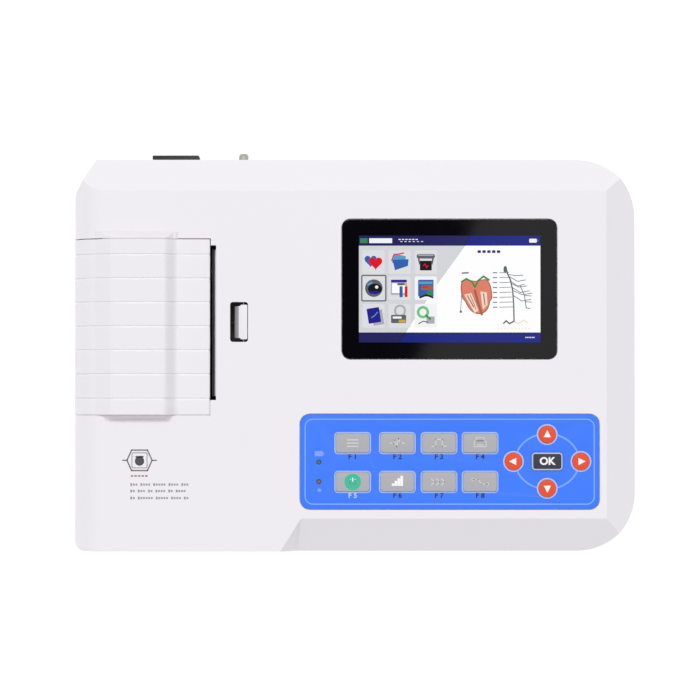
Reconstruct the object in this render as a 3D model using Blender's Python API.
"""A three-channel ECG recorder: case, printer, screen, keypad and what they hold inside.

Metres, +Z up, operator at -Y, paper door at -X, connectors at +Y.
Every piece is a child of one empty, which centres the whole model on its origin.
"""

import math

import bmesh
import bpy
from mathutils import Matrix, Vector

MM = 0.001

# Case
LENGTH = 315 * MM
DEPTH = 220 * MM
LEFT, RIGHT = -LENGTH / 2, LENGTH / 2
FRONT, BACK = -DEPTH / 2, DEPTH / 2
CASE_BOTTOM = 3 * MM
SEAM_Z = 27 * MM
CASE_TOP = 72 * MM
WALL = 2.5 * MM
GAP = 0.4 * MM
RIGHT_CORNER = 33 * MM
LEFT_CORNER = 7 * MM
BACK_RUN, BACK_DROP = 18.3 * MM, 15 * MM
RIGHT_RUN, RIGHT_DROP = 16.7 * MM, 12 * MM
FRONT_RUN, FRONT_DROP = 18.3 * MM, 12 * MM
FRONT_SLOPE_X = RIGHT - 187.5 * MM
FRONT_SLANT, FRONT_EASE = 11.5 * MM, 14 * MM
SHOULDER = 18 * MM
SHOULDER_FACETS = 6
BACK_CHAMFER = (12 * MM, 21 * MM)
REAR_OVERHANG = 4 * MM

# Paper door, its hinge and the bay below it
DOOR_RIGHT = LEFT + 76.9 * MM
DOOR_Y = (BACK - 143.7 * MM, BACK - 45.6 * MM)
DOOR_WALL = 2.2 * MM
BULGE_HEIGHT = 5 * MM
BULGE_BASE = (LEFT + 12.8 * MM, LEFT + 59.1 * MM)
BULGE_TOP = (LEFT + 22.3 * MM, LEFT + 51.9 * MM)
BARREL_R = 4.5 * MM
HINGE_Z = 48.5 * MM
HINGE_X = LEFT + BARREL_R
PIN_R = 1.25 * MM
RUNNING = 0.35 * MM
SLOT_WIDTH = 3.4 * MM
SLOT_Y = (BACK - 135.4 * MM, BACK - 49 * MM)
SCOOP_DEPTH = 2 * MM
BAY_WALL = 2 * MM
BAY_Y = (DOOR_Y[0] - 1.4 * MM, DOOR_Y[1] + 1.4 * MM)
BAY_FLOOR = 8 * MM

# Printer
ROLLER_R = 6 * MM
ROLLER_Y = (BACK - 133.2 * MM, BACK - 51.2 * MM)
SHAFT_R = 1.8 * MM
PLATEN_X, PLATEN_Z = DOOR_RIGHT - ROLLER_R + 0.6 * MM, 62 * MM
CHEEK = 1.6 * MM
FRONT_CHEEK_Y = (ROLLER_Y[0] - GAP - CHEEK, ROLLER_Y[0] - GAP)
BACK_CHEEK_Y = (ROLLER_Y[1] + GAP, ROLLER_Y[1] + GAP + CHEEK)
GEAR_MODULE = 0.8 * MM
PLATEN_TEETH, IDLER_TEETH, PINION_TEETH = 15, 20, 10
GEAR_WIDTH = 2.4 * MM
GEAR_Y = (BACK_CHEEK_Y[1] + GAP, BACK_CHEEK_Y[1] + GAP + GEAR_WIDTH)
BACKLASH = 0.2 * MM
PLATEN_TO_IDLER = GEAR_MODULE * (PLATEN_TEETH + IDLER_TEETH) / 2 + BACKLASH
IDLER_TO_PINION = GEAR_MODULE * (IDLER_TEETH + PINION_TEETH) / 2 + BACKLASH
IDLER_PITCH = math.tau / IDLER_TEETH
IDLER_AT = (PLATEN_X, PLATEN_Z - PLATEN_TO_IDLER)
IDLER_STUD_R = 1.5 * MM
MOTOR_WAY = math.pi / 2 - 8.5 * IDLER_PITCH
PINION_AT = (IDLER_AT[0] + IDLER_TO_PINION * math.cos(MOTOR_WAY),
             IDLER_AT[1] + IDLER_TO_PINION * math.sin(MOTOR_WAY))
MOTOR_R, MOTOR_LONG = 9.4 * MM, 18 * MM
ROLL_R, ROLL_CORE_R = 21 * MM, 7 * MM
ROLL_AT = (LEFT + 38.5 * MM, 36 * MM)
PAPER_WIDTH = 80 * MM

# Release lever
LEVER_X = (LEFT + 88.1 * MM, LEFT + 98.1 * MM)
LEVER_Y = (BACK - 103 * MM, BACK - 80.7 * MM)
LEVER_TAB = 3.9 * MM
LEVER_PIVOT_Z = 61 * MM

# Screen
GLASS_X = (RIGHT - 164.5 * MM, RIGHT - 44.6 * MM)
GLASS_Y = (BACK - 112.5 * MM, BACK - 34.5 * MM)
GLASS_R = 4.7 * MM
GLASS_THICK = 1.4 * MM
GLASS_LEDGE = 3 * MM

# Keypad
PAD_X = (RIGHT - 187.8 * MM, RIGHT - 21.1 * MM)
PAD_Y = (FRONT + 23.8 * MM, FRONT + 76.7 * MM)
PAD_R = 5.5 * MM
PAD_THICK = 0.8 * MM
KEY_SIZE = (18.7 * MM, 10.6 * MM)
KEY_COLUMNS = [RIGHT - away * MM for away in (158.5, 133.6, 110.4, 87.5)]
KEY_ROWS = [FRONT + away * MM for away in (60.6, 39)]
KEY_NAMES = [["menu", "mode", "calibrate", "print"], ["power", "gain", "speed", "lead"]]
KEY_CORNER = 1.4 * MM
KEY_FLANGE = 0.9 * MM
KEY_PROUD = 0.9 * MM
KEY_TRAVEL = 0.6 * MM
KEY_STEM = 3.5 * MM
ARROW_R = 4.9 * MM
CROSS_AT = (RIGHT - 50.1 * MM, FRONT + 50.4 * MM)
CROSS_X, CROSS_Y = 18.8 * MM, 15 * MM
SET_SIZE = (16.5 * MM, 9.3 * MM)
LIGHT_R = 1 * MM
LIGHTS = [(RIGHT - 177.4 * MM, FRONT + away * MM) for away in (50, 39.1)]

# Rear, side and base
INLET_X, INLET_Z = LEFT + 56.6 * MM, 42 * MM
INLET_SIZE = (26.2 * MM, 19 * MM)
POST_R, POST_Z = 2.8 * MM, 44 * MM
POST_X = LEFT + 94.8 * MM
PATIENT_SIZE = (39 * MM, 13 * MM)
PATIENT_AT = (20 * MM, 42 * MM)
USB_X = 20 * MM
USB_SIZE = (14 * MM, 7 * MM)
SCREW_HEAD_R = 2.8 * MM
FOOT_R, FOOT_SUNK = 8 * MM, 1.2 * MM
FEET_AT = [(s * (RIGHT - 32.5 * MM), t * (BACK - 28 * MM)) for s in (-1, 1) for t in (-1, 1)]
SCREWS_AT = [(s * (RIGHT - 57.5 * MM), t * (BACK - 28 * MM)) for s in (-1, 1) for t in (-1, 1)]
BATTERY_SIZE = (74 * MM, 52 * MM, 18 * MM)
BATTERY_AT = (RIGHT - 97.5 * MM, -20 * MM)

COLOURS = {
    "case": ((0.80, 0.78, 0.82), 0.42, 0),
    "door": ((0.80, 0.79, 0.82), 0.42, 0),
    "glass": ((0.004, 0.003, 0.006), 0.08, 0),
    "overlay": ((0.065, 0.22, 0.85), 0.4, 0),
    "key": ((0.43, 0.43, 0.47), 0.45, 0),
    "arrow": ((0.85, 0.10, 0.02), 0.4, 0),
    "set": ((0.02, 0.025, 0.05), 0.4, 0),
    "black": ((0.02, 0.02, 0.022), 0.5, 0),
    "rubber": ((0.03, 0.03, 0.03), 0.8, 0),
    "steel": ((0.55, 0.55, 0.56), 0.3, 1),
    "aluminium": ((0.75, 0.76, 0.77), 0.4, 1),
    "board": ((0.02, 0.16, 0.06), 0.5, 0),
    "nylon": ((0.75, 0.74, 0.68), 0.5, 0),
    "paper": ((0.85, 0.82, 0.78), 0.8, 0),
    "battery": ((0.05, 0.09, 0.30), 0.45, 0),
    "light": ((0.10, 0.75, 0.25), 0.3, 0),
    "screen": ((0.10, 0.12, 0.20), 0.2, 0),
}


def clear_scene():
    for old in list(bpy.data.objects):
        bpy.data.objects.remove(old)


def collection(name, hidden=False):
    made = bpy.data.collections.new(name)
    bpy.context.scene.collection.children.link(made)
    made.hide_render = hidden
    return made


def material(key):
    found = bpy.data.materials.get(key)
    if found:
        return found
    colour, roughness, metallic = COLOURS[key]
    made = bpy.data.materials.new(key)
    made.use_nodes = True
    shader = made.node_tree.nodes["Principled BSDF"]
    shader.inputs["Base Color"].default_value = (*colour, 1)
    shader.inputs["Roughness"].default_value = roughness
    shader.inputs["Metallic"].default_value = metallic
    return made


clear_scene()
PARTS = collection("ecg_machine")
CUTTERS = collection("cutters", hidden=True)
CENTRE = bpy.data.objects.new("ecg_machine_centre", None)
CENTRE.location = (0, -REAR_OVERHANG / 2, 0)
PARTS.objects.link(CENTRE)


def finish_mesh(bm, name, smooth=35):
    bmesh.ops.remove_doubles(bm, verts=bm.verts, dist=1e-7)
    bmesh.ops.recalc_face_normals(bm, faces=bm.faces)
    mesh = bpy.data.meshes.new(name)
    bm.to_mesh(mesh)
    bm.free()
    mesh.shade_smooth()
    mesh.set_sharp_from_angle(angle=math.radians(smooth))
    return mesh


def piece(name, bm, key, at=(0, 0, 0)):
    """A finished sub-part whose mesh is local to its own origin."""
    made = bpy.data.objects.new(name, finish_mesh(bm, name))
    made.data.materials.append(material(key))
    made.location = at
    made.parent = CENTRE
    PARTS.objects.link(made)
    return made


def helper(name, bm, at=(0, 0, 0)):
    made = bpy.data.objects.new(name, finish_mesh(bm, name))
    made.location = at
    made.parent = CENTRE
    made.hide_render = True
    made.display_type = "WIRE"
    CUTTERS.objects.link(made)
    return made


def boolean(target, other, operation="DIFFERENCE"):
    change = target.modifiers.new(other.name, "BOOLEAN")
    change.operation = operation
    change.object = other
    change.solver = "EXACT"


def block(x, y, z, corner=0, segments=4):
    """A box between two limits on each axis, its upright edges rounded by corner."""
    bm = bmesh.new()
    bmesh.ops.create_cube(bm, size=1)
    size = Vector((x[1] - x[0], y[1] - y[0], z[1] - z[0]))
    middle = Vector((x[0] + x[1], y[0] + y[1], z[0] + z[1])) / 2
    bmesh.ops.scale(bm, vec=size, verts=bm.verts)
    bmesh.ops.translate(bm, vec=middle, verts=bm.verts)
    if corner:
        upright = [e for e in bm.edges if abs(e.verts[0].co.z - e.verts[1].co.z) > size.z / 2]
        bmesh.ops.bevel(bm, geom=upright, offset=corner, segments=segments, profile=0.5,
                        affect="EDGES", material=-1)
    return bm


def around(at, size):
    """Two limits on an axis from a middle and a size."""
    return (at - size / 2, at + size / 2)


def wider(limits, by):
    return (limits[0] - by, limits[1] + by)


def cylinder(radius, length, axis="Z", segments=24):
    """A cylinder centred on its own origin, lying along an axis."""
    bm = bmesh.new()
    bmesh.ops.create_cone(bm, cap_ends=True, segments=segments, radius1=radius, radius2=radius,
                          depth=length)
    turn = {"X": Matrix.Rotation(math.pi / 2, 3, "Y"), "Y": Matrix.Rotation(math.pi / 2, 3, "X")}
    if axis in turn:
        bmesh.ops.rotate(bm, cent=(0, 0, 0), matrix=turn[axis], verts=bm.verts)
    return bm


def turned(profile, segments=24):
    """A closed solid from (radius, height) points that start and end on the Z axis."""
    bm = bmesh.new()
    verts = [bm.verts.new((r, 0, z)) for r, z in profile]
    edges = [bm.edges.new(pair) for pair in zip(verts, verts[1:])]
    bmesh.ops.spin(bm, geom=verts + edges, cent=(0, 0, 0), axis=(0, 0, 1), dvec=(0, 0, 0),
                   angle=math.tau, steps=segments, use_merge=True)
    return bm


def outline_prism(points, y):
    """A closed outline in XZ, extruded along Y."""
    bm = bmesh.new()
    verts = [bm.verts.new((px, y[0], pz)) for px, pz in points]
    face = bm.faces.new(verts)
    grown = bmesh.ops.extrude_face_region(bm, geom=[face])["geom"]
    moved = [g for g in grown if isinstance(g, bmesh.types.BMVert)]
    bmesh.ops.translate(bm, vec=(0, y[1] - y[0], 0), verts=moved)
    return bm


def slice_off(bm, point, normal):
    """Removes what lies beyond a plane and closes the cut."""
    geom = list(bm.verts) + list(bm.edges) + list(bm.faces)
    cut = bmesh.ops.bisect_plane(bm, geom=geom, dist=1e-7, plane_co=point, plane_no=normal,
                                 clear_outer=True)
    edges = [g for g in cut["geom_cut"] if isinstance(g, bmesh.types.BMEdge)]
    if edges:
        bmesh.ops.contextual_create(bm, geom=edges)


def slope_plane(run, drop, edge, direction, inset):
    """A point and outward normal of a case slope that meets the top at edge - run."""
    normal = (direction * drop + Vector((0, 0, run))).normalized()
    point = direction * (edge - run) + Vector((0, 0, CASE_TOP)) - normal * inset
    return point, normal


def case_volume(inset, z):
    """The case's outer volume, moved in by inset, between two heights. Its front is cut later."""
    x = wider((LEFT, RIGHT), -inset)
    y = wider((FRONT, BACK), -inset)
    bm = block(x, y, z)
    for sx, radius, segments in ((1, RIGHT_CORNER, 10), (-1, LEFT_CORNER, 4)):
        upright = [
            e for e in bm.edges
            if (e.verts[0].co - e.verts[1].co).xy.length < 1e-6
            and e.verts[0].co.x * sx > RIGHT - inset - 1e-4
            and (sx > 0 or e.verts[0].co.y < 0)
        ]
        bmesh.ops.bevel(bm, geom=upright, offset=radius - inset, segments=segments, profile=0.5,
                        affect="EDGES", material=-1)
    chamfer = Vector((-BACK_CHAMFER[1], BACK_CHAMFER[0], 0)).normalized()
    corner = Vector((LEFT + BACK_CHAMFER[0], BACK, 0))
    slice_off(bm, corner - chamfer * inset, chamfer)
    if z[1] < CASE_TOP - inset:
        return bm
    slice_off(bm, *slope_plane(BACK_RUN, BACK_DROP, BACK, Vector((0, 1, 0)), inset))
    slice_off(bm, *slope_plane(RIGHT_RUN, RIGHT_DROP, RIGHT, Vector((1, 0, 0)), inset))
    middle = Vector((LEFT + SHOULDER, 0, CASE_TOP - SHOULDER))
    for step in range(SHOULDER_FACETS):
        angle = math.pi / 2 * (step + 0.5) / SHOULDER_FACETS
        normal = Vector((-math.sin(angle), 0, math.cos(angle)))
        slice_off(bm, middle + normal * (SHOULDER - inset), normal)
    return bm


def front_slope_cutter(inset):
    """What the front slope takes off, with a steep end where the slope stops on the left."""
    point, normal = slope_plane(FRONT_RUN, FRONT_DROP, BACK, Vector((0, -1, 0)), inset)
    bm = block((FRONT_SLOPE_X - 40 * MM, RIGHT + 20 * MM),
               (FRONT - 20 * MM, FRONT + FRONT_RUN + 10 * MM),
               (CASE_TOP - 40 * MM, CASE_TOP + 10 * MM))
    slice_off(bm, point, -normal)
    end = Vector((-FRONT_RUN, FRONT_SLANT, -FRONT_EASE)).normalized()
    slice_off(bm, Vector((FRONT_SLOPE_X, FRONT + FRONT_RUN, CASE_TOP)) + end * inset, end)
    return helper("front_slope_cut_" + str(round(inset / MM * 10)), bm)


def case_solid(name, inset, z, sloped=True):
    made = helper(name, case_volume(inset, z))
    if sloped:
        boolean(made, front_slope_cutter(inset))
    return made


def make_key_holes(target, by):
    """Cuts one opening for each key and light through target, by a clearance all round."""
    z = (CASE_TOP - 10 * MM, CASE_TOP + 5 * MM)
    for name, at, size in rectangular_keys():
        hole = block(around(0, size[0] + 2 * by), around(0, size[1] + 2 * by), z, KEY_CORNER, 3)
        boolean(target, helper(name + "_hole_in_" + target.name, hole, (*at, 0)))
    for name, at, radius in round_keys():
        hole = cylinder(radius + by, z[1] - z[0])
        boolean(target, helper(name + "_hole_in_" + target.name, hole, (*at, sum(z) / 2)))


def rectangular_keys():
    found = []
    for y, names in zip(KEY_ROWS, KEY_NAMES):
        for x, name in zip(KEY_COLUMNS, names):
            found.append(("key_" + name, (x, y), KEY_SIZE))
    found.append(("key_set", CROSS_AT, SET_SIZE))
    return found


def arrow_keys():
    ways = {"up": (0, CROSS_Y), "down": (0, -CROSS_Y), "left": (-CROSS_X, 0), "right": (CROSS_X, 0)}
    return [("key_" + n, (CROSS_AT[0] + x, CROSS_AT[1] + y), ARROW_R) for n, (x, y) in ways.items()]


def round_keys():
    lights = [("mains_light", LIGHTS[0], LIGHT_R), ("battery_light", LIGHTS[1], LIGHT_R)]
    return arrow_keys() + lights


def make_top_cover():
    cover = piece("top_cover", case_volume(0, (SEAM_Z + GAP / 2, CASE_TOP)), "case")
    boolean(cover, front_slope_cutter(0))
    boolean(cover, case_solid("top_cover_hollow", WALL, (SEAM_Z - 5 * MM, CASE_TOP - WALL)))
    z_over = CASE_TOP + 10 * MM
    bay = block((LEFT - 10 * MM, DOOR_RIGHT + GAP), wider(DOOR_Y, GAP),
                (HINGE_Z - BARREL_R - GAP, z_over))
    boolean(cover, helper("door_opening", bay))
    slot = block((DOOR_RIGHT - GAP, DOOR_RIGHT + SLOT_WIDTH), SLOT_Y, (CASE_TOP - 10 * MM, z_over))
    boolean(cover, helper("slot_opening", slot))
    ridge = outline_prism(bulge_outline(GAP), (DOOR_Y[1] + GAP, DOOR_Y[1] + GAP + BULGE_HEIGHT))
    start = Vector((0, DOOR_Y[1] + GAP, CASE_TOP + BULGE_HEIGHT))
    slice_off(ridge, start, Vector((0, 5, 4)).normalized())
    boolean(cover, helper("bulge_end", ridge), "UNION")
    scoop = outline_prism(
        [(BULGE_BASE[0], CASE_TOP + 2 * MM), (BULGE_TOP[0], CASE_TOP - SCOOP_DEPTH),
         (BULGE_TOP[1], CASE_TOP - SCOOP_DEPTH), (BULGE_BASE[1], CASE_TOP + 2 * MM)],
        (DOOR_Y[0] - SCOOP_DEPTH * 2, DOOR_Y[0]))
    slice_off(scoop, Vector((0, DOOR_Y[0] - 2 * SCOOP_DEPTH, CASE_TOP)),
              Vector((0, -1, -1)).normalized())
    boolean(cover, helper("finger_scoop", scoop))
    lever = block(LEVER_X, LEVER_Y, (CASE_TOP - 10 * MM, z_over), 1.5 * MM, 3)
    boolean(cover, helper("lever_opening", lever))
    recess = block(wider(GLASS_X, GAP), wider(GLASS_Y, GAP),
                   (CASE_TOP - GLASS_THICK - GAP, z_over), GLASS_R + GAP, 5)
    boolean(cover, helper("glass_recess", recess))
    window = block(wider(GLASS_X, -GLASS_LEDGE), wider(GLASS_Y, -GLASS_LEDGE),
                   (CASE_TOP - 10 * MM, z_over))
    boolean(cover, helper("screen_window", window))
    pad = block(wider(PAD_X, GAP), wider(PAD_Y, GAP), (CASE_TOP - PAD_THICK - GAP, z_over),
                PAD_R + GAP, 5)
    boolean(cover, helper("keypad_recess", pad))
    make_key_holes(cover, GAP)
    rear = (BACK - 20 * MM, BACK + 10 * MM)
    inlet = block(around(INLET_X, INLET_SIZE[0] + 2 * GAP), rear,
                  around(INLET_Z, INLET_SIZE[1] + 2 * GAP))
    boolean(cover, helper("inlet_opening", inlet))
    post = cylinder(POST_R + GAP, 60 * MM, "Y")
    boolean(cover, helper("post_opening", post, (POST_X, BACK, POST_Z)))
    usb = block(around(USB_X, USB_SIZE[0] + 2 * GAP), rear,
                around(INLET_Z, USB_SIZE[1] + 2 * GAP))
    boolean(cover, helper("usb_opening", usb))
    side = block((RIGHT - 12 * MM, RIGHT + 10 * MM),
                 around(PATIENT_AT[0], PATIENT_SIZE[0] + 2 * GAP),
                 around(PATIENT_AT[1], PATIENT_SIZE[1] + 2 * GAP))
    boolean(cover, helper("patient_opening", side))


def make_bottom_cover():
    top = SEAM_Z - GAP / 2
    cover = piece("bottom_cover", case_volume(0, (CASE_BOTTOM, top)), "case")
    hollow = case_volume(WALL, (CASE_BOTTOM + WALL, top + 5 * MM))
    boolean(cover, helper("bottom_cover_hollow", hollow))
    for number, at in enumerate(FEET_AT, 1):
        seat = cylinder(FOOT_R + GAP, 2 * FOOT_SUNK)
        boolean(cover, helper(f"foot_seat_{number}", seat, (*at, CASE_BOTTOM)))
        foot = turned([(0, 0), (FOOT_R - 1 * MM, 0), (FOOT_R, 1 * MM),
                       (FOOT_R, CASE_BOTTOM + FOOT_SUNK - GAP), (0, CASE_BOTTOM + FOOT_SUNK - GAP)])
        piece(f"rubber_foot_{number}", foot, "rubber", (*at, 0))
    for number, at in enumerate(SCREWS_AT, 1):
        boolean(cover, helper(f"screw_hole_{number}", cylinder(SCREW_HEAD_R + GAP, 20 * MM),
                              (*at, CASE_BOTTOM)))
        piece(f"case_screw_{number}", screw(), "steel", (*at, CASE_BOTTOM + GAP))
    lid = around(BATTERY_AT[0], BATTERY_SIZE[0] + 8 * MM), around(BATTERY_AT[1], BATTERY_SIZE[1])
    hole = block(*(wider(side, GAP) for side in lid), wider((CASE_BOTTOM, CASE_BOTTOM + WALL), MM),
                 3 * MM)
    boolean(cover, helper("battery_opening", hole))
    plate = piece("battery_cover", block(*lid, (CASE_BOTTOM, CASE_BOTTOM + WALL - GAP), 3 * MM),
                  "case")
    screw_at = (lid[0][1] - 5 * MM, BATTERY_AT[1], CASE_BOTTOM)
    boolean(plate, helper("cover_screw_hole", cylinder(SCREW_HEAD_R + GAP, 20 * MM), screw_at))
    piece("battery_cover_screw", screw(), "steel", Vector(screw_at) + Vector((0, 0, GAP)))
    pack = block(around(BATTERY_AT[0] - 4 * MM, BATTERY_SIZE[0] - 8 * MM),
                 around(BATTERY_AT[1], BATTERY_SIZE[1] - 4 * MM),
                 (CASE_BOTTOM + WALL + GAP, CASE_BOTTOM + WALL + GAP + BATTERY_SIZE[2]), 2 * MM)
    piece("battery_pack", pack, "battery")


def screw():
    """A pan-head screw, head down, from its head's face at 0."""
    head, shank, long = 2 * MM, 1.4 * MM, 11 * MM
    return turned([(0, 0), (SCREW_HEAD_R - 0.6 * MM, 0), (SCREW_HEAD_R, 0.6 * MM),
                   (SCREW_HEAD_R, head), (shank, head), (shank, long), (0, long + MM)], 16)


def shoulder_points(radius, start, end):
    """Points round the case's left shoulder between two angles above -X."""
    middle = (LEFT + SHOULDER, CASE_TOP - SHOULDER)
    angles = [start + (end - start) * i / SHOULDER_FACETS for i in range(SHOULDER_FACETS + 1)]
    return [(middle[0] - radius * math.cos(a), middle[1] + radius * math.sin(a)) for a in angles]


def bulge_outline(lower):
    """The raised bulge's section, closed a little below the case's top."""
    base = CASE_TOP - lower
    return [(BULGE_BASE[1], base), (BULGE_BASE[1], CASE_TOP), (BULGE_TOP[1], CASE_TOP + BULGE_HEIGHT),
            (BULGE_TOP[0], CASE_TOP + BULGE_HEIGHT), (BULGE_BASE[0], CASE_TOP - 0.8 * MM),
            (BULGE_BASE[0], base - 0.8 * MM)]


def door_outline():
    """The door's section: top, bulge and left shoulder, down to the hinge barrel and back."""
    base_angle = math.acos((SHOULDER + LEFT - BULGE_BASE[0]) / SHOULDER)
    top = [(DOOR_RIGHT, CASE_TOP), (BULGE_BASE[1], CASE_TOP), (BULGE_TOP[1], CASE_TOP + BULGE_HEIGHT),
           (BULGE_TOP[0], CASE_TOP + BULGE_HEIGHT)]
    outer = shoulder_points(SHOULDER, base_angle, 0)
    barrel = []
    for step in range(13):
        angle = math.pi + (math.pi * 1.3) * step / 12
        barrel.append((HINGE_X + BARREL_R * math.cos(angle), HINGE_Z + BARREL_R * math.sin(angle)))
    inner = shoulder_points(SHOULDER - DOOR_WALL, 0, math.pi / 2)
    return top + outer + barrel + inner + [(DOOR_RIGHT, CASE_TOP - DOOR_WALL)]


def make_door():
    """The door, hinged along Y at its lower left, with two cheeks that carry the platen."""
    axis = Vector((HINGE_X, 0, HINGE_Z))
    bm = outline_prism(door_outline(), DOOR_Y)
    bmesh.ops.translate(bm, vec=-axis, verts=bm.verts)
    door = piece("paper_door", bm, "door", axis)
    for number, y in enumerate((FRONT_CHEEK_Y, BACK_CHEEK_Y), 1):
        cheek = block((PLATEN_X - 4.5 * MM, PLATEN_X + 4.5 * MM), y,
                      (PLATEN_Z - 4.5 * MM, CASE_TOP - DOOR_WALL / 2))
        boolean(door, helper(f"platen_cheek_{number}", cheek), "UNION")
    boolean(door, helper("shaft_hole", cylinder(SHAFT_R + RUNNING, 200 * MM, "Y"),
                         (PLATEN_X, 0, PLATEN_Z)))
    boolean(door, helper("hinge_hole", cylinder(PIN_R + RUNNING, 200 * MM, "Y", 16), axis))


def tube(inner, outer, length, segments=24):
    """A ring centred on its own origin, lying along Y."""
    bm = bmesh.new()
    half = length / 2
    profile = [(outer, half), (outer, -half), (inner, -half), (inner, half)]
    verts = [bm.verts.new((r, y, 0)) for r, y in profile]
    edges = [bm.edges.new((verts[i], verts[(i + 1) % 4])) for i in range(4)]
    bmesh.ops.spin(bm, geom=verts + edges, cent=(0, 0, 0), axis=(0, 1, 0), dvec=(0, 0, 0),
                   angle=math.tau, steps=segments, use_merge=True)
    return bm


def gear(teeth, first_angle):
    """A spur gear about Y with straight-flanked teeth, one tooth at first_angle above +X."""
    pitch_r = GEAR_MODULE * teeth / 2
    tip, root = pitch_r + 0.8 * GEAR_MODULE, pitch_r - 1.1 * GEAR_MODULE
    pitch = math.tau / teeth
    points = []
    for tooth in range(teeth):
        for share, radius in ((-0.27, root), (-0.11, tip), (0.11, tip), (0.27, root)):
            angle = first_angle + (tooth + share) * pitch
            points.append((radius * math.cos(angle), radius * math.sin(angle)))
    return outline_prism(points, around(0, GEAR_WIDTH))


def make_printer():
    roller_y = sum(ROLLER_Y) / 2
    gear_y = sum(GEAR_Y) / 2
    piece("platen_roller", tube(SHAFT_R + RUNNING, ROLLER_R, ROLLER_Y[1] - ROLLER_Y[0]), "rubber",
          (PLATEN_X, roller_y, PLATEN_Z))
    shaft = (FRONT_CHEEK_Y[0] - MM, GEAR_Y[1] + GAP / 2)
    piece("platen_shaft", cylinder(SHAFT_R, shaft[1] - shaft[0], "Y", 20), "steel",
          (PLATEN_X, sum(shaft) / 2, PLATEN_Z))
    platen_gear = piece("platen_gear", gear(PLATEN_TEETH, -math.pi / 2), "nylon",
                        (PLATEN_X, gear_y, PLATEN_Z))
    boolean(platen_gear, helper("platen_gear_bore", cylinder(SHAFT_R + RUNNING, 9 * MM, "Y"),
                                (PLATEN_X, gear_y, PLATEN_Z)))
    idler = piece("idler_gear", gear(IDLER_TEETH, math.pi / 2 + IDLER_PITCH / 2), "nylon",
                  (IDLER_AT[0], gear_y, IDLER_AT[1]))
    boolean(idler, helper("idler_bore", cylinder(IDLER_STUD_R + RUNNING, 9 * MM, "Y"),
                          (IDLER_AT[0], gear_y, IDLER_AT[1])))
    stud = (GEAR_Y[0], BAY_Y[1] + BAY_WALL)
    piece("idler_stud", cylinder(IDLER_STUD_R, stud[1] - stud[0], "Y", 16), "steel",
          (IDLER_AT[0], sum(stud) / 2, IDLER_AT[1]))
    pinion_tooth = MOTOR_WAY + math.pi + math.pi / PINION_TEETH
    piece("motor_pinion", gear(PINION_TEETH, pinion_tooth), "nylon",
          (PINION_AT[0], gear_y, PINION_AT[1]))
    motor_y = (GEAR_Y[0] - GAP - MOTOR_LONG, GEAR_Y[0] - GAP)
    piece("stepper_motor", cylinder(MOTOR_R, MOTOR_LONG, "Y", 28), "steel",
          (PINION_AT[0], sum(motor_y) / 2, PINION_AT[1]))
    head_x = PLATEN_X + ROLLER_R + GAP
    sink = block((head_x + 1 * MM + GAP, head_x + 1 * MM + GAP + 4 * MM), ROLLER_Y,
                 (PLATEN_Z - 9 * MM, PLATEN_Z + 3 * MM))
    piece("head_heat_sink", sink, "aluminium")
    head = block((head_x, head_x + 1 * MM), ROLLER_Y, (PLATEN_Z - 7 * MM, PLATEN_Z + 3 * MM))
    piece("thermal_print_head", head, "nylon")
    roll_at = (ROLL_AT[0], roller_y, ROLL_AT[1])
    piece("paper_roll", tube(ROLL_CORE_R + GAP, ROLL_R, PAPER_WIDTH, 40), "paper", roll_at)
    piece("paper_core", tube(ROLL_CORE_R - 1.5 * MM, ROLL_CORE_R, PAPER_WIDTH - MM, 28), "nylon",
          roll_at)
    axle_y = (BAY_Y[0] - BAY_WALL, BAY_Y[1] + BAY_WALL)
    piece("roll_axle", cylinder(ROLL_CORE_R - 2 * MM, axle_y[1] - axle_y[0], "Y", 20), "nylon",
          (ROLL_AT[0], sum(axle_y) / 2, ROLL_AT[1]))
    pin_y = (BAY_Y[0] - BAY_WALL, BAY_Y[1] + BAY_WALL)
    piece("door_hinge_pin", cylinder(PIN_R, pin_y[1] - pin_y[0], "Y", 16), "steel",
          (HINGE_X, sum(pin_y) / 2, HINGE_Z))


def make_bay():
    """The open tray below the door, which holds the roll, the head, the motor and the hinge."""
    left = LEFT + WALL + GAP
    right = PINION_AT[0] + MOTOR_R + GAP + BAY_WALL
    outside = wider(BAY_Y, BAY_WALL)
    top = PLATEN_Z + 4 * MM
    bay = piece("printer_bay", block((left, right), outside, (BAY_FLOOR, top)), "black")
    hollow = block((left + BAY_WALL, right - BAY_WALL), BAY_Y,
                   (BAY_FLOOR + BAY_WALL, top + 5 * MM))
    boolean(bay, helper("bay_hollow", hollow))
    low = HINGE_Z - BARREL_R - GAP
    front_gap = block((left - MM, left + 4 * MM), BAY_Y, (low, top + MM))
    boolean(bay, helper("barrel_gap", front_gap))
    shoulder = helper("bay_shoulder", case_volume(WALL + GAP, (CASE_BOTTOM + WALL, CASE_TOP - WALL)))
    boolean(bay, shoulder, "INTERSECT")
    lever_gap = block((LEVER_X[0] - 3 * MM - GAP, right + MM), wider(BAY_Y, 5 * MM),
                      (LEVER_PIVOT_Z - 6 * MM, top + MM))
    boolean(bay, helper("lever_gap", lever_gap))
    holes = {"hinge": (PIN_R, HINGE_X, HINGE_Z), "axle": (ROLL_CORE_R - 2 * MM, *ROLL_AT),
             "stud": (IDLER_STUD_R, *IDLER_AT)}
    for name, (radius, x, z) in holes.items():
        length = 90 * MM if name == "stud" else 300 * MM
        y = BAY_Y[1] if name == "stud" else 0
        bore = cylinder(radius + RUNNING, length, "Y", 20)
        boolean(bay, helper(name + "_bore_in_bay", bore, (x, y, z)))


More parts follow.
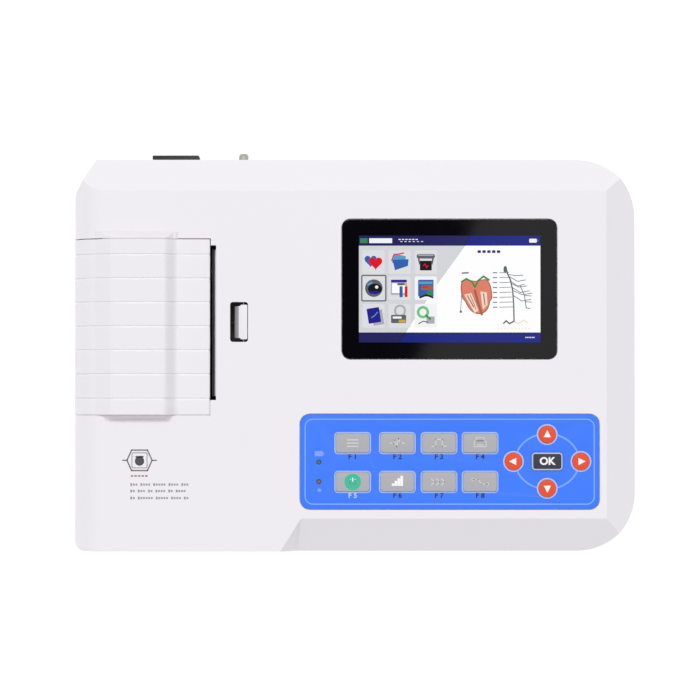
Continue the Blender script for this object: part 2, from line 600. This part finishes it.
def make_lever():
    """The release lever, its pin and its spring, in a dark well below the top cover."""
    wall = 1.6 * MM
    well_x, well_y = wider(LEVER_X, 1 * MM + wall), wider(LEVER_Y, 1 * MM + wall)
    well_z = (LEVER_PIVOT_Z - 5 * MM, CASE_TOP - WALL - GAP)
    well = piece("lever_well", block(well_x, well_y, well_z), "black")
    inside = block(wider(well_x, -wall), wider(well_y, -wall), (well_z[0] + wall, CASE_TOP))
    boolean(well, helper("well_hollow", inside))
    pivot = Vector((LEVER_X[1] - 2.6 * MM, sum(LEVER_Y) / 2, LEVER_PIVOT_Z))
    bore = cylinder(PIN_R + RUNNING, 60 * MM, "Y", 16)
    boolean(well, helper("lever_bore_in_well", bore, pivot))
    length = LEVER_Y[1] - LEVER_Y[0] - 3 * MM
    top = CASE_TOP - 0.6 * MM - pivot.z
    tab_x = (LEVER_X[1] - GAP - LEVER_TAB - pivot.x, LEVER_X[1] - GAP - pivot.x)
    lever = piece("release_lever", block(tab_x, around(0, length), (0, top), 0.6 * MM, 2), "case",
                  pivot)
    barrel = cylinder(2.5 * MM, length, "Y")
    boolean(lever, helper("lever_barrel", barrel, pivot), "UNION")
    boolean(lever, helper("lever_bore", cylinder(PIN_R + RUNNING, 60 * MM, "Y", 16), pivot))
    pin = well_y[1] - well_y[0]
    piece("lever_pin", cylinder(PIN_R, pin, "Y", 16), "steel", (pivot.x, pivot.y, pivot.z))
    spring_wire(pivot)


def spring_wire(pivot):
    """A small coil that presses the lever's tab back, on the well's floor beside the barrel."""
    made = bpy.data.curves.new("lever_spring", "CURVE")
    made.dimensions = "3D"
    made.bevel_depth = 0.3 * MM
    made.bevel_resolution = 1
    made.use_fill_caps = True
    path = made.splines.new("POLY")
    turns, steps, radius, rise = 4, 10, 1.3 * MM, 1.1 * MM
    path.points.add(turns * steps)
    for number, point in enumerate(path.points):
        angle = math.tau * number / steps
        point.co = (rise * number / steps, radius * math.cos(angle), radius * math.sin(angle), 1)
    spring = bpy.data.objects.new("lever_spring", made)
    made.materials.append(material("steel"))
    spring.location = (LEVER_X[0] + 0.2 * MM, pivot.y, pivot.z + 4.5 * MM - 3 * MM)
    spring.parent = CENTRE
    PARTS.objects.link(spring)


def make_keypad():
    z = (CASE_TOP - PAD_THICK, CASE_TOP)
    overlay = piece("keypad_overlay", block(PAD_X, PAD_Y, z, PAD_R, 5), "overlay")
    make_key_holes(overlay, GAP)
    bottom = CASE_TOP - KEY_STEM
    flange = CASE_TOP - WALL - GAP
    for name, at, size in rectangular_keys():
        wide = [around(0, side + 2 * KEY_FLANGE) for side in size]
        bm = block(*wide, (bottom, flange), KEY_CORNER + KEY_FLANGE, 3)
        rise_from(bm, KEY_FLANGE, CASE_TOP + KEY_PROUD)
        piece(name, bm, "set" if name == "key_set" else "key", (*at, 0))
    for name, at, radius in round_keys():
        proud = KEY_PROUD if name.startswith("key") else 0
        bm = turned([(0, bottom), (radius + KEY_FLANGE, bottom), (radius + KEY_FLANGE, flange),
                     (radius, flange), (radius, CASE_TOP + proud), (0, CASE_TOP + proud)], 24)
        piece(name, bm, "arrow" if name.startswith("key") else "light", (*at, 0))
    board = block(wider(PAD_X, -8 * MM), wider(PAD_Y, -3 * MM),
                  (bottom - KEY_TRAVEL - GAP - 1.6 * MM, bottom - KEY_TRAVEL - GAP))
    piece("keypad_board", board, "board")


def rise_from(bm, inset, top_z):
    """Steps a block in by inset on its top and raises it to top_z."""
    bm.normal_update()
    top = max(bm.faces, key=lambda f: f.calc_center_median().z)
    bmesh.ops.inset_individual(bm, faces=[top], thickness=inset)
    grown = bmesh.ops.extrude_face_region(bm, geom=[top])["geom"]
    for vert in (g for g in grown if isinstance(g, bmesh.types.BMVert)):
        vert.co.z = top_z
    bmesh.ops.delete(bm, geom=[top], context="FACES_ONLY")


def make_screen():
    glass = block(GLASS_X, GLASS_Y, (CASE_TOP - GLASS_THICK, CASE_TOP), GLASS_R, 5)
    piece("display_glass", glass, "glass")
    module = block(wider(GLASS_X, -6 * MM), wider(GLASS_Y, -5 * MM),
                   (CASE_TOP - 9 * MM, CASE_TOP - WALL - GAP))
    piece("display_module", module, "screen")


def make_electronics():
    piece("main_board", block((RIGHT - 197.5 * MM, RIGHT - 29.5 * MM), (FRONT + 34 * MM, BACK - 44 * MM),
                              (32 * MM, 33.6 * MM)),
          "board")
    supply = block((LEFT + 73.5 * MM, LEFT + 161.5 * MM), (BACK - 38 * MM, BACK - 6 * MM),
                   (12 * MM, 13.6 * MM))
    piece("power_supply_board", supply, "board")
    transformer = block((LEFT + 81.5 * MM, LEFT + 113.5 * MM), (BACK - 35 * MM, BACK - 9 * MM),
                        (14 * MM, 38 * MM), 3 * MM)
    piece("mains_transformer", transformer, "steel")
    speaker = turned([(0, 0), (14 * MM, 0), (14 * MM, 2 * MM), (8 * MM, 7 * MM), (0, 7 * MM)], 28)
    piece("speaker", speaker, "black", (LEFT + 29.5 * MM, FRONT + 50 * MM, 8 * MM))


def make_connectors():
    inlet_y = (BACK - 17 * MM, BACK + 2.8 * MM)
    inlet_at = (INLET_X, 0, INLET_Z)
    inlet = piece("mains_inlet", block(around(0, INLET_SIZE[0]), inlet_y, around(0, INLET_SIZE[1])),
                  "black", inlet_at)
    socket = helper("inlet_socket", block(around(0, INLET_SIZE[0] - 5 * MM),
                                          (inlet_y[0] + 3 * MM, inlet_y[1] + 5 * MM),
                                          around(0, INLET_SIZE[1] - 5 * MM)), inlet_at)
    for number, (x, z) in enumerate([(-7 * MM, -2 * MM), (0, 2 * MM), (7 * MM, -2 * MM)], 1):
        prong = block(around(x, 2 * MM), (inlet_y[0], inlet_y[1] - 4 * MM), around(z, 4 * MM))
        boolean(socket, helper(f"inlet_prong_{number}", prong, inlet_at))
    boolean(inlet, socket)
    post = turned([(0, -10 * MM), (POST_R, -10 * MM), (POST_R, 6 * MM), (2.2 * MM, 7 * MM),
                   (2.2 * MM, 9 * MM), (POST_R, 9.5 * MM), (POST_R, 13 * MM), (2.2 * MM, 14 * MM),
                   (0, 14 * MM)], 20)
    bmesh.ops.rotate(post, cent=(0, 0, 0), matrix=Matrix.Rotation(-math.pi / 2, 3, "X"),
                     verts=post.verts)
    piece("ground_terminal", post, "steel", (POST_X, BACK - 10 * MM, POST_Z))
    usb_y = (BACK - 14 * MM, BACK - GAP)
    usb = piece("usb_socket", block(around(USB_X, USB_SIZE[0]), usb_y,
                                    around(INLET_Z, USB_SIZE[1])), "steel")
    mouth = block(around(USB_X, USB_SIZE[0] - 2 * MM), (usb_y[0] + 3 * MM, usb_y[1] + MM),
                  around(INLET_Z, USB_SIZE[1] - 2 * MM))
    boolean(usb, helper("usb_mouth", mouth))
    patient_x = (RIGHT - 14 * MM, RIGHT - GAP)
    patient = piece("patient_connector",
                    block(patient_x, around(PATIENT_AT[0], PATIENT_SIZE[0]),
                          around(PATIENT_AT[1], PATIENT_SIZE[1])), "black")
    mouth = block((patient_x[0] + 6 * MM, patient_x[1] + MM),
                  around(PATIENT_AT[0], PATIENT_SIZE[0] - 5 * MM),
                  around(PATIENT_AT[1], PATIENT_SIZE[1] - 4 * MM))
    boolean(patient, helper("patient_mouth", mouth))


make_top_cover()
make_bottom_cover()
make_door()
make_printer()
make_bay()
make_lever()
make_keypad()
make_screen()
make_electronics()
make_connectors()
